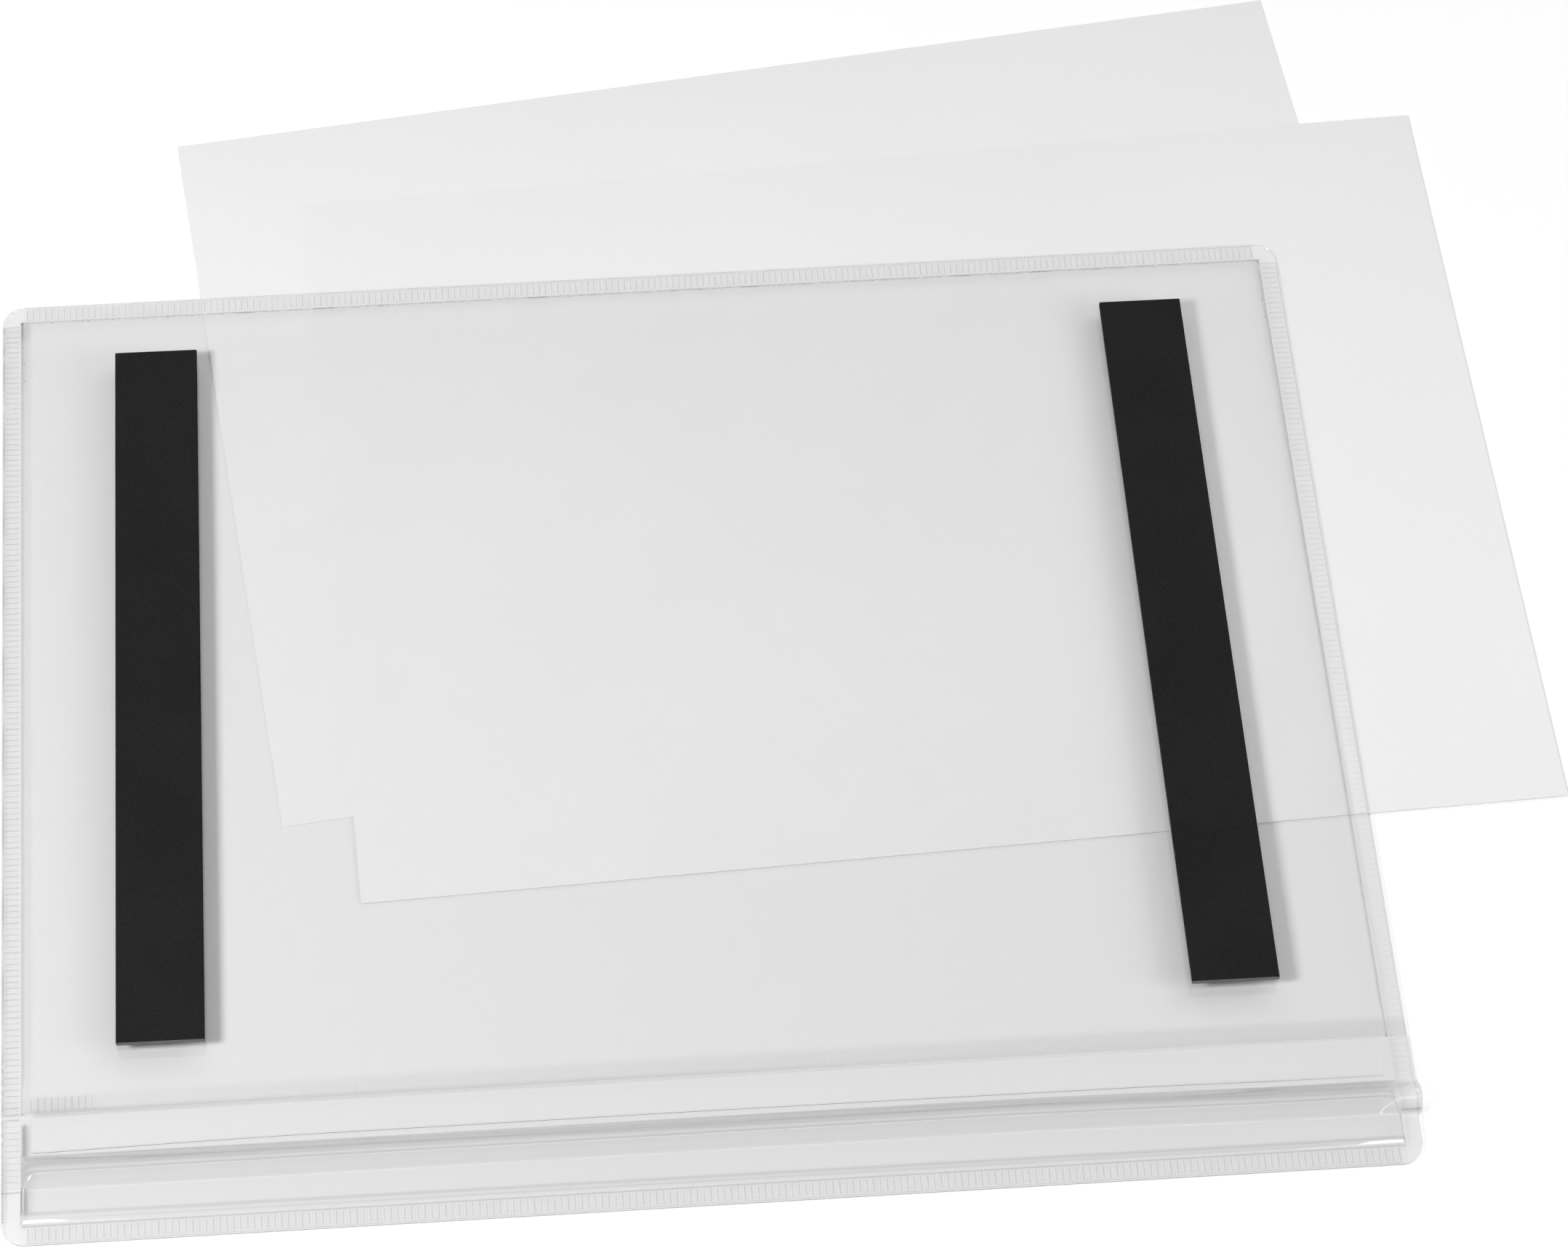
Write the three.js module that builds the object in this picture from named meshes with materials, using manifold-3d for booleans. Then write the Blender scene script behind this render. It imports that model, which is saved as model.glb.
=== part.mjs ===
// Magnetic document pocket for A4 landscape sheets, lying on its face on two blank inserts.
// Soft clear film, welded all round, with a rain flap over the loading slot and two magnet strips on the back.
// Units are millimetres, +Z up. While it is laid out, the pocket's lower left corner is at the origin.

import * as THREE from "three";
import { mergeVertices } from "three/addons/utils/BufferGeometryUtils.js";
import Module from "manifold-3d";

const wasm = await Module();
wasm.setup();

// Pocket outline and film
const POCKET_WIDTH = 334.2;
const POCKET_HEIGHT = 265.6;
const CORNER_RADIUS = 5.8;
const FILM = 0.25;
const SEAM = 4.7;

// Ribs that the welding tool presses into every seam
const RIB_PITCH = 1.59;
const RIB_HEIGHT = 0.12;
const RIB_LAND = 0.03;
const RIB_ROOT = 0.1;
const RIB_OUTER_MARGIN = 0.7;
const RIB_INNER_MARGIN = 0.2;

// Back film: how high it stands off the front film, and how soon it gets there from a seam
const PUFF = 2.5;
const PUFF_RUN = 13;
const PUFF_POWER = 4;
const BACK_FILM_EDGE = 33.3;

// Rain flap, welded under the lower edge of the back film
const HINGE_WELD = 4.2;
const HINGE_LIFT = 1.25;
const HINGE_RISE_RUN = 9.2;
const FLAP_DROP = 10.4;
const FLAP_END_INSET = 7.2;
const FLAP_SPRING = 1.5;

// Lower strip, which holds an insert's lower edge and tucks under the flap
const STRIP_EDGE_GAP = 0.3;
const STRIP_LIFT = 1.2;
const STRIP_RISE_RUN = 3.2;
const STRIP_TUCK = 0.25;
const STRIP_EAR = 0.3;
const RIDGE_HEIGHT = 4.4;
const RIDGE_NEAR_FOOT = 13.4;
const RIDGE_WIDTH = 9;
const RIDGE_SIDE_RUN = 9;
const RIDGE_SEAM_RUN = 12;
const LIFTED_SEAM_GAP = 0.3;

// Magnet strips and the tape that holds them
const MAGNET_WIDTH = 21;
const MAGNET_LENGTH = 198;
const MAGNET_THICKNESS = 1.5;
const MAGNET_CHAMFER = 0.2;
const MAGNET_FROM_SIDE = 39;
const MAGNET_FROM_BOTTOM = 48.7;
const MAGNET_LEAN = { left: -0.55, right: -0.3 };
const TAPE_MARGIN = 1;
const TAPE_THICKNESS = 0.25;

// Insert sheets: the lower left corner of each, and its turn in degrees
const SHEET_LENGTH = 297;
const SHEET_WIDTH = 210;
const SHEET_THICKNESS = 0.25;
const LOWER_SHEET = { x: 68.5, y: 107.2, turn: 6.06 };
const UPPER_SHEET = { x: 86.8, y: 84.8, turn: 2.15 };

// Fineness of curves
const CORNER_SEGMENTS = 8;
const PUFF_STEPS = [0.05, 0.11, 0.2, 0.32, 0.46, 0.64, 0.82, 1];
const RIDGE_STEPS = 12;
const FLAP_STEPS = 10;
const FLAP_DROP_STEPS = 4;
const TRIM_ALLOWANCE = 2;

// Levels
const lowerSheetLevel = 0;
const upperSheetLevel = lowerSheetLevel + SHEET_THICKNESS;
const frontFilmLevel = upperSheetLevel + SHEET_THICKNESS;
const backLevel = frontFilmLevel + FILM;
const hingeLevel = backLevel + HINGE_LIFT;
const flapLevel = hingeLevel - FILM;
const tapeLevel = backLevel + PUFF + FILM;
const magnetLevel = tapeLevel + TAPE_THICKNESS;

// Places that several pieces share
const leftWeld = SEAM;
const rightWeld = POCKET_WIDTH - SEAM;
const topWeld = POCKET_HEIGHT - SEAM;
const hingeTop = BACK_FILM_EDGE + HINGE_WELD;
const ridgeFarFoot = RIDGE_NEAR_FOOT + RIDGE_WIDTH;
const stripEdge = BACK_FILM_EDGE - STRIP_EDGE_GAP;

const clearFilm = { color: 0xe6ebec, roughness: 0.12, metalness: 0, transparent: true, opacity: 0.35 };
const finishes = {
  frontFilm: new THREE.MeshStandardMaterial(clearFilm),
  backFilm: new THREE.MeshStandardMaterial(clearFilm),
  flap: new THREE.MeshStandardMaterial({ ...clearFilm, opacity: 0.4 }),
  strip: new THREE.MeshStandardMaterial({ ...clearFilm, opacity: 0.4 }),
  magnet: new THREE.MeshStandardMaterial({ color: 0x17171a, roughness: 0.75, metalness: 0 }),
  tape: new THREE.MeshStandardMaterial({ color: 0xd9d9d2, roughness: 0.6, metalness: 0 }),
  sheet: new THREE.MeshStandardMaterial({ color: 0xf5f5f3, roughness: 0.9, metalness: 0 }),
};

// A closed geometry as a solid that can be joined and cut
function solidOf(geometry) {
  const bare = geometry.clone();
  bare.deleteAttribute("normal");
  bare.deleteAttribute("uv");
  const merged = mergeVertices(bare, 1e-4);
  return new wasm.Manifold(new wasm.Mesh({
    numProp: 3,
    vertProperties: new Float32Array(merged.attributes.position.array),
    triVerts: new Uint32Array(merged.index.array),
  }));
}

function geometryOf(solid) {
  const mesh = solid.getMesh();
  const geometry = new THREE.BufferGeometry();
  geometry.setAttribute("position", new THREE.BufferAttribute(new Float32Array(mesh.vertProperties), 3));
  geometry.setIndex(new THREE.BufferAttribute(new Uint32Array(mesh.triVerts), 1));
  geometry.computeVertexNormals();
  return geometry;
}

function piece(name, geometry, material) {
  const mesh = new THREE.Mesh(geometry, material);
  mesh.name = name;
  return mesh;
}

// Sorted stations with near doubles left out
function stations(values) {
  const sorted = [...values].sort((a, b) => a - b);
  return sorted.filter((value, i) => i === 0 || value - sorted[i - 1] > 0.02);
}

// Film of one thickness over a grid of stations, with its underside at underside(x, y)
function filmShell(xs, ys, underside) {
  const columns = xs.length;
  const rows = ys.length;
  const layer = columns * rows;
  const positions = [];
  for (const rise of [0, FILM]) {
    for (const y of ys) {
      for (const x of xs) positions.push(x, y, underside(x, y) + rise);
    }
  }
  const low = (i, j) => j * columns + i;
  const high = (i, j) => layer + low(i, j);
  const triangles = [];
  const quad = (a, b, c, d) => triangles.push(a, b, c, a, c, d);
  for (let j = 0; j < rows - 1; j += 1) {
    for (let i = 0; i < columns - 1; i += 1) {
      // The diagonal follows the mitre that runs in from the nearest corner of the pocket
      const right = xs[i] + xs[i + 1] > POCKET_WIDTH;
      const top = ys[j] + ys[j + 1] > POCKET_HEIGHT;
      if (right === top) {
        quad(high(i, j), high(i + 1, j), high(i + 1, j + 1), high(i, j + 1));
        quad(low(i, j), low(i, j + 1), low(i + 1, j + 1), low(i + 1, j));
      } else {
        quad(high(i + 1, j), high(i + 1, j + 1), high(i, j + 1), high(i, j));
        quad(low(i + 1, j), low(i, j), low(i, j + 1), low(i + 1, j + 1));
      }
    }
  }
  const wall = (a, b) => quad(a, b, b + layer, a + layer);
  for (let i = 0; i < columns - 1; i += 1) {
    wall(low(i, 0), low(i + 1, 0));
    wall(low(i + 1, rows - 1), low(i, rows - 1));
  }
  for (let j = 0; j < rows - 1; j += 1) {
    wall(low(0, j + 1), low(0, j));
    wall(low(columns - 1, j), low(columns - 1, j + 1));
  }
  const geometry = new THREE.BufferGeometry();
  geometry.setAttribute("position", new THREE.Float32BufferAttribute(positions, 3));
  geometry.setIndex(triangles);
  return geometry;
}

// Die-cut outline of the pocket, with an optional ear on its right side beside the slot
function outlineCutter(ear = 0) {
  const r = CORNER_RADIUS;
  const shape = new THREE.Shape();
  shape.moveTo(r, 0);
  shape.lineTo(POCKET_WIDTH - r, 0);
  shape.absarc(POCKET_WIDTH - r, r, r, -Math.PI / 2, 0, false);
  if (ear > 0) {
    shape.lineTo(POCKET_WIDTH, RIDGE_NEAR_FOOT);
    shape.lineTo(POCKET_WIDTH + ear, RIDGE_NEAR_FOOT + ear);
    shape.lineTo(POCKET_WIDTH + ear, BACK_FILM_EDGE + ear);
    shape.lineTo(POCKET_WIDTH, BACK_FILM_EDGE + 2 * ear);
  }
  shape.lineTo(POCKET_WIDTH, POCKET_HEIGHT - r);
  shape.absarc(POCKET_WIDTH - r, POCKET_HEIGHT - r, r, 0, Math.PI / 2, false);
  shape.lineTo(r, POCKET_HEIGHT);
  shape.absarc(r, POCKET_HEIGHT - r, r, Math.PI / 2, Math.PI, false);
  shape.lineTo(0, r);
  shape.absarc(r, r, r, Math.PI, 1.5 * Math.PI, false);
  const depth = backLevel + PUFF + RIDGE_HEIGHT + 2 * TRIM_ALLOWANCE;
  const prism = new THREE.ExtrudeGeometry(shape, { depth, bevelEnabled: false, curveSegments: CORNER_SEGMENTS });
  prism.translate(0, 0, -TRIM_ALLOWANCE);
  return solidOf(prism);
}

// A row of welding ribs on a film whose top is at z = 0, starting at the origin and running along +X
function ribRow(length, width) {
  const count = Math.floor(length / RIB_PITCH);
  const start = (length - count * RIB_PITCH) / 2;
  const section = new THREE.Shape();
  section.moveTo(start, -RIB_ROOT);
  section.lineTo(start + count * RIB_PITCH, -RIB_ROOT);
  section.lineTo(start + count * RIB_PITCH, RIB_LAND);
  for (let i = count - 1; i >= 0; i -= 1) {
    section.lineTo(start + (i + 0.5) * RIB_PITCH, RIB_LAND + RIB_HEIGHT);
    section.lineTo(start + i * RIB_PITCH, RIB_LAND);
  }
  const row = new THREE.ExtrudeGeometry(section, { depth: width, bevelEnabled: false });
  row.rotateX(Math.PI / 2);
  row.translate(0, width, 0);
  return row;
}

// The row of ribs on the seam along one side of the pocket, from one place to another along that side
function seamRibs(side, from, to) {
  const width = SEAM - RIB_OUTER_MARGIN - RIB_INNER_MARGIN;
  const row = ribRow(to - from, width);
  if (side === "left" || side === "right") {
    row.rotateZ(Math.PI / 2);
    row.translate(side === "left" ? RIB_OUTER_MARGIN + width : POCKET_WIDTH - RIB_OUTER_MARGIN, from, 0);
  } else {
    row.translate(from, side === "bottom" ? RIB_OUTER_MARGIN : POCKET_HEIGHT - RIB_OUTER_MARGIN - width, 0);
  }
  row.translate(0, 0, backLevel + FILM);
  return solidOf(row);
}

// Share of a film's full lift at a distance from its weld: steep at first, then easing level
function pillow(distance, run) {
  const t = THREE.MathUtils.clamp(distance / run, 0, 1);
  return 1 - (1 - t) ** PUFF_POWER;
}

const fromSides = (x) => Math.min(x - leftWeld, rightWeld - x);

// Height of the ridge above a base level, which may differ before and after the crest
function ridge(y, nearBase, farBase) {
  const t = (y - RIDGE_NEAR_FOOT) / RIDGE_WIDTH;
  if (t <= 0) return nearBase;
  if (t >= 1) return farBase;
  const base = t < 0.5 ? nearBase : farBase;
  return base + (RIDGE_HEIGHT - base) * 0.5 * (1 - Math.cos(2 * Math.PI * t));
}

// Where the ridge runs out through the right seam, it lifts both films there
function seamLift(x, y) {
  const reach = THREE.MathUtils.smoothstep(x, rightWeld - RIDGE_SEAM_RUN, rightWeld);
  return ridge(y, 0, 0) * reach;
}

const sideStations = (run) => [
  -TRIM_ALLOWANCE,
  leftWeld,
  ...PUFF_STEPS.flatMap((step) => [leftWeld + step * run, rightWeld - step * run]),
  rightWeld,
];
const ridgeStations = Array.from({ length: RIDGE_STEPS + 1 }, (_, i) => RIDGE_NEAR_FOOT + (RIDGE_WIDTH * i) / RIDGE_STEPS);
const seamLiftStations = [1, 0.75, 0.5, 0.25].map((step) => rightWeld - step * RIDGE_SEAM_RUN);

function frontFilm() {
  const xs = stations([-TRIM_ALLOWANCE, ...seamLiftStations, rightWeld, POCKET_WIDTH + TRIM_ALLOWANCE]);
  const ys = stations([-TRIM_ALLOWANCE, ...ridgeStations, POCKET_HEIGHT + TRIM_ALLOWANCE]);
  const underside = (x, y) => frontFilmLevel + Math.max(0, seamLift(x, y) - LIFTED_SEAM_GAP);
  const shell = solidOf(filmShell(xs, ys, underside));
  return piece("front_film", geometryOf(shell.intersect(outlineCutter())), finishes.frontFilm);
}

// The lift of the back film just above the hinge weld, which stays level for the flap
function hingeEase(y) {
  const rise = THREE.MathUtils.smoothstep(y, hingeTop, hingeTop + HINGE_RISE_RUN);
  return HINGE_LIFT + (PUFF - HINGE_LIFT) * rise;
}

function backFilm() {
  const hingeReach = PUFF_RUN * (1 - (1 - HINGE_LIFT / PUFF) ** (1 / PUFF_POWER));
  const xs = stations([
    ...sideStations(PUFF_RUN), leftWeld + hingeReach, rightWeld - hingeReach, POCKET_WIDTH + TRIM_ALLOWANCE,
  ]);
  const ys = stations([
    BACK_FILM_EDGE,
    ...[0, 0.25, 0.5, 0.75, 1].map((step) => hingeTop + step * HINGE_RISE_RUN),
    ...PUFF_STEPS.map((step) => topWeld - step * PUFF_RUN),
    topWeld,
    POCKET_HEIGHT + TRIM_ALLOWANCE,
  ]);
  const underside = (x, y) => backLevel + Math.min(
    PUFF * pillow(fromSides(x), PUFF_RUN),
    PUFF * pillow(topWeld - y, PUFF_RUN),
    hingeEase(y),
  );
  const hingeRibs = ribRow(POCKET_WIDTH - 2 * FLAP_END_INSET, HINGE_WELD - 2 * RIB_INNER_MARGIN);
  hingeRibs.translate(FLAP_END_INSET, BACK_FILM_EDGE + RIB_INNER_MARGIN, hingeLevel + FILM);
  const film = solidOf(filmShell(xs, ys, underside))
    .intersect(outlineCutter())
    .add(seamRibs("top", leftWeld, rightWeld))
    .add(seamRibs("left", BACK_FILM_EDGE + RIB_INNER_MARGIN, topWeld))
    .add(seamRibs("right", BACK_FILM_EDGE + RIB_INNER_MARGIN, topWeld))
    .add(solidOf(hingeRibs));
  return piece("back_film", geometryOf(film), finishes.backFilm);
}

// The flap hangs level from its weld and springs up a little along the middle of its free edge
function rainFlap() {
  const halfWidth = POCKET_WIDTH / 2 - FLAP_END_INSET;
  const across = Array.from({ length: FLAP_STEPS + 1 }, (_, i) => -1 + (2 * i) / FLAP_STEPS);
  const down = Array.from({ length: FLAP_DROP_STEPS + 1 }, (_, i) => i / FLAP_DROP_STEPS);
  const xs = across.map((u) => POCKET_WIDTH / 2 + u * halfWidth);
  const ys = stations([hingeTop, ...down.map((v) => BACK_FILM_EDGE - v * FLAP_DROP)]);
  const underside = (x, y) => {
    const u = (x - POCKET_WIDTH / 2) / halfWidth;
    const v = Math.max(0, (BACK_FILM_EDGE - y) / FLAP_DROP);
    return flapLevel + FLAP_SPRING * Math.max(0, 1 - u * u) * v * v;
  };
  return piece("rain_flap", filmShell(xs, ys, underside), finishes.flap);
}

function lowerStrip() {
  const xs = stations([
    ...sideStations(RIDGE_SIDE_RUN), ...seamLiftStations, POCKET_WIDTH + STRIP_EAR + TRIM_ALLOWANCE,
  ]);
  const riseStations = PUFF_STEPS.filter((_, i) => i % 2 === 1).map((step) => SEAM + step * STRIP_RISE_RUN);
  const ys = stations([-TRIM_ALLOWANCE, SEAM, ...riseStations, ...ridgeStations, stripEdge]);
  const underside = (x, y) => {
    const rise = STRIP_LIFT * pillow(y - SEAM, STRIP_RISE_RUN);
    const profile = y < RIDGE_NEAR_FOOT ? rise : ridge(y, STRIP_LIFT, STRIP_TUCK);
    const side = RIDGE_HEIGHT * pillow(fromSides(x), RIDGE_SIDE_RUN);
    return backLevel + Math.max(Math.min(profile, side), seamLift(x, y));
  };
  const film = solidOf(filmShell(xs, ys, underside))
    .intersect(outlineCutter(STRIP_EAR))
    .add(seamRibs("bottom", leftWeld, rightWeld))
    .add(seamRibs("left", RIDGE_NEAR_FOOT, stripEdge - RIB_INNER_MARGIN))
    .add(seamRibs("right", SEAM, RIDGE_NEAR_FOOT))
    .add(seamRibs("right", ridgeFarFoot, stripEdge - RIB_INNER_MARGIN));
  return piece("lower_strip", geometryOf(film), finishes.strip);
}

// A magnet strip cut from a flat extruded band, with its long edges slightly broken
function magnetStrip() {
  const half = MAGNET_WIDTH / 2;
  const c = MAGNET_CHAMFER;
  const t = MAGNET_THICKNESS;
  const section = new THREE.Shape([
    new THREE.Vector2(-half + c, 0),
    new THREE.Vector2(half - c, 0),
    new THREE.Vector2(half, c),
    new THREE.Vector2(half, t - c),
    new THREE.Vector2(half - c, t),
    new THREE.Vector2(-half + c, t),
    new THREE.Vector2(-half, t - c),
    new THREE.Vector2(-half, c),
  ]);
  const strip = new THREE.ExtrudeGeometry(section, { depth: MAGNET_LENGTH, bevelEnabled: false });
  strip.rotateX(Math.PI / 2);
  strip.translate(0, MAGNET_LENGTH / 2, 0);
  return strip;
}

function magnetWithTape(side) {
  const mount = new THREE.Group();
  const x = side === "left" ? MAGNET_FROM_SIDE : POCKET_WIDTH - MAGNET_FROM_SIDE;
  mount.position.set(x, MAGNET_FROM_BOTTOM + MAGNET_LENGTH / 2, 0);
  mount.rotation.z = THREE.MathUtils.degToRad(MAGNET_LEAN[side]);
  const tapeSize = [MAGNET_WIDTH - 2 * TAPE_MARGIN, MAGNET_LENGTH - 2 * TAPE_MARGIN, TAPE_THICKNESS];
  const tape = piece(`adhesive_tape_${side}`, new THREE.BoxGeometry(...tapeSize), finishes.tape);
  tape.position.z = tapeLevel + TAPE_THICKNESS / 2;
  const magnet = piece(`magnet_strip_${side}`, magnetStrip(), finishes.magnet);
  magnet.position.z = magnetLevel;
  mount.add(tape, magnet);
  return mount;
}

function insertSheet(name, place, level) {
  const corner = new THREE.Group();
  corner.position.set(place.x, place.y, level);
  corner.rotation.z = THREE.MathUtils.degToRad(place.turn);
  const sheet = piece(name, new THREE.BoxGeometry(SHEET_LENGTH, SHEET_WIDTH, SHEET_THICKNESS), finishes.sheet);
  sheet.position.set(SHEET_LENGTH / 2, SHEET_WIDTH / 2, SHEET_THICKNESS / 2);
  corner.add(sheet);
  return corner;
}

const group = new THREE.Group();
group.add(
  insertSheet("insert_sheet_lower", LOWER_SHEET, lowerSheetLevel),
  insertSheet("insert_sheet_upper", UPPER_SHEET, upperSheetLevel),
  frontFilm(),
  backFilm(),
  rainFlap(),
  lowerStrip(),
  magnetWithTape("left"),
  magnetWithTape("right"),
);

// The origin moves to the middle of the base of everything that lies there
const span = new THREE.Box3().setFromObject(group, true);
const middle = span.getCenter(new THREE.Vector3());
group.position.set(-middle.x, -middle.y, -span.min.z);

export default group;
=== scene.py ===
"""Looks of a clear magnetic document pocket that lies on two blank cards, seen from its back.

The pocket is soft clear film, welded along its edges with a ribbed tool. A rain flap hangs from the lower
edge of the back film, over the slot where a card goes in, and a lower strip rises from the bottom seam and
tucks under the flap. Two black magnet strips are taped to the back. Shapes are laid out in millimetres from
the pocket's lower left corner, and each finished mesh is placed in the frame, in metres.
"""

import logging
import math
from dataclasses import dataclass
from enum import Enum
from typing import Callable, Iterable, Union

import bmesh
import bpy
from mathutils import Matrix, Vector


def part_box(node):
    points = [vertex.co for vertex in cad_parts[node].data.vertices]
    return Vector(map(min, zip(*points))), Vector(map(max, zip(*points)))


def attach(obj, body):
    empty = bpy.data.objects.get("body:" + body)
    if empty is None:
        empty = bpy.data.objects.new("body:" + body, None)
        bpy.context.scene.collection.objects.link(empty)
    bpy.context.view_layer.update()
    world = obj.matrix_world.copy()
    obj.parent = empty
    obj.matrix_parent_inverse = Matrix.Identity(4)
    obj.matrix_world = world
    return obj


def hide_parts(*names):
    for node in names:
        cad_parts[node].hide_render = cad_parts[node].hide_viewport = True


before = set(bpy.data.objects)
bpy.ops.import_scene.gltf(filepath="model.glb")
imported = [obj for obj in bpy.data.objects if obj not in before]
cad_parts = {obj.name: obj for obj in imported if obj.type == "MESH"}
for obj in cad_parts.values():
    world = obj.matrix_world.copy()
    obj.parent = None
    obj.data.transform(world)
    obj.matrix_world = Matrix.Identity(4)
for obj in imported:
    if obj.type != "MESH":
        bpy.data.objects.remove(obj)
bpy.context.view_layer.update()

log = logging.getLogger("document_pocket")

MM = 0.001
BODY = "root"
# The attribute in which each film keeps its haze and its painted shade
SHADE_ATTRIBUTE = "haze_and_painted_shade"
CUT_EDGE = -0.1

Colour = tuple[float, float, float]
Height = Callable[[float, float], float]
SocketValue = Union[float, tuple, bpy.types.NodeSocket]


class Side(Enum):
    """The pocket's two long halves, each with one magnet strip."""

    LEFT = "left"
    RIGHT = "right"


class Axis(Enum):
    """The direction in which a row of ribs runs."""

    X = 0
    Y = 1


def clamp(value: float, low: float = 0.0, high: float = 1.0) -> float:
    """Returns the value kept between two limits."""
    return max(low, min(high, value))


def ease(share: float) -> float:
    """Returns a share from 0 to 1 with a soft start and a soft end."""
    t = clamp(share)
    return t * t * (3 - 2 * t)


def swell(share: float, power: float) -> float:
    """Returns a share from 0 to 1 that rises steeply at first and then levels off."""
    return 1 - (1 - clamp(share)) ** power


def bump_at(place: float, centre: float, reach: float) -> float:
    """Returns 1 at the centre, falling softly to 0 at the reach on both sides."""
    return ease(1 - abs(place - centre) / reach)


def level(x: float, y: float) -> float:
    """Returns 0 at every place."""
    return 0.0


def soft_min(a: float, b: float, blend: float) -> float:
    """Returns the smaller of two values, with the crease between them rounded.

    Args:
        a: The first value.
        b: The second value.
        blend: The difference under which the two are blended.
    """
    share = clamp(0.5 + 0.5 * (b - a) / blend)
    return b + (a - b) * share - blend * share * (1 - share)


def colour4(colour: Colour) -> tuple[float, float, float, float]:
    """Returns a colour with full alpha."""
    return (*colour, 1.0)


class Tree:
    """Short calls for the nodes and links of one material, node group, light or world."""

    def __init__(self, tree: bpy.types.NodeTree) -> None:
        """Starts from an empty node tree."""
        tree.nodes.clear()
        self.tree = tree

    def add(self, kind: str, inputs: Union[dict, None] = None, **settings: object) -> bpy.types.Node:
        """Adds a node.

        Args:
            kind: The node's type.
            inputs: For each input's name or number, its value or the output that feeds it.
            settings: The node's own options.

        Returns:
            The new node.
        """
        node = self.tree.nodes.new(kind)
        for name, value in settings.items():
            setattr(node, name, value)
        for key, value in (inputs or {}).items():
            if isinstance(value, bpy.types.NodeSocket):
                self.tree.links.new(value, node.inputs[key])
            else:
                node.inputs[key].default_value = value
        return node

    def maths(self, operation: str, *values: SocketValue, clamped: bool = False) -> bpy.types.NodeSocket:
        """Adds a Math node and returns its result."""
        node = self.add("ShaderNodeMath", dict(enumerate(values)), operation=operation, use_clamp=clamped)
        return node.outputs[0]

    def mix(self, share: SocketValue, a: SocketValue, b: SocketValue) -> bpy.types.NodeSocket:
        """Adds a mix of two colours and returns its result."""
        node = self.add("ShaderNodeMix", {0: share, 6: a, 7: b}, data_type="RGBA")
        return node.outputs[2]

    def ramp(self, value: SocketValue, low: float, high: float, out: tuple[float, float] = (0.0, 1.0),
             smooth: bool = True) -> bpy.types.NodeSocket:
        """Adds a Map Range node from two limits to two results and returns its result."""
        node = self.add("ShaderNodeMapRange", {0: value, 1: low, 2: high, 3: out[0], 4: out[1]},
                        interpolation_type="SMOOTHSTEP" if smooth else "LINEAR")
        return node.outputs[0]


def node_group(name: str, inputs: dict[str, float], outputs: Iterable[str]) -> tuple[Tree, bpy.types.Node,
                                                                                     bpy.types.Node]:
    """Makes an empty shader node group with number sockets.

    Args:
        name: The group's name.
        inputs: Each input's name and standard value.
        outputs: The names of the outputs.

    Returns:
        The group's tree, its input node and its output node.
    """
    group = bpy.data.node_groups.new(name, "ShaderNodeTree")
    for label, value in inputs.items():
        socket = group.interface.new_socket(name=label, in_out="INPUT", socket_type="NodeSocketFloat")
        socket.default_value = value
    for label in outputs:
        group.interface.new_socket(name=label, in_out="OUTPUT", socket_type="NodeSocketFloat")
    tree = Tree(group)
    return tree, tree.add("NodeGroupInput"), tree.add("NodeGroupOutput")


class Effects:
    """Node groups that several finishes use. Each is built once."""

    def __init__(self) -> None:
        """Builds the groups."""
        self.grain = self._grain()
        self.slope = self._slope()

    def _grain(self) -> bpy.types.NodeTree:
        """Returns a group for fine speckle over slow patches, fixed to the piece."""
        tree, given, result = node_group("surface_grain", {"Fineness": 900.0, "Patch Fineness": 30.0},
                                         ["Speckle", "Patches"])
        place = tree.add("ShaderNodeTexCoord").outputs["Object"]
        speckle = tree.add("ShaderNodeTexNoise", {"Vector": place, "Scale": given.outputs[0],
                                                  "Detail": 3.0, "Roughness": 0.6})
        patches = tree.add("ShaderNodeTexNoise", {"Vector": place, "Scale": given.outputs[1], "Detail": 2.0})
        tree.tree.links.new(speckle.outputs[0], result.inputs[0])
        tree.tree.links.new(patches.outputs[0], result.inputs[1])
        return tree.tree

    def _slope(self) -> bpy.types.NodeTree:
        """Returns a group that masks where a lying sheet stands up from the level, for painted shade."""
        tree, given, result = node_group("standing_parts", {"Start": 0.02, "Full": 0.5}, ["Mask"])
        normal = tree.add("ShaderNodeNewGeometry").outputs["Normal"]
        upright = tree.add("ShaderNodeSeparateXYZ", {0: normal}).outputs["Z"]
        lean = tree.maths("SUBTRACT", 1.0, tree.maths("ABSOLUTE", upright))
        tree.tree.links.new(tree.ramp(lean, given.outputs[0], given.outputs[1]), result.inputs[0])
        return tree.tree


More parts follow.
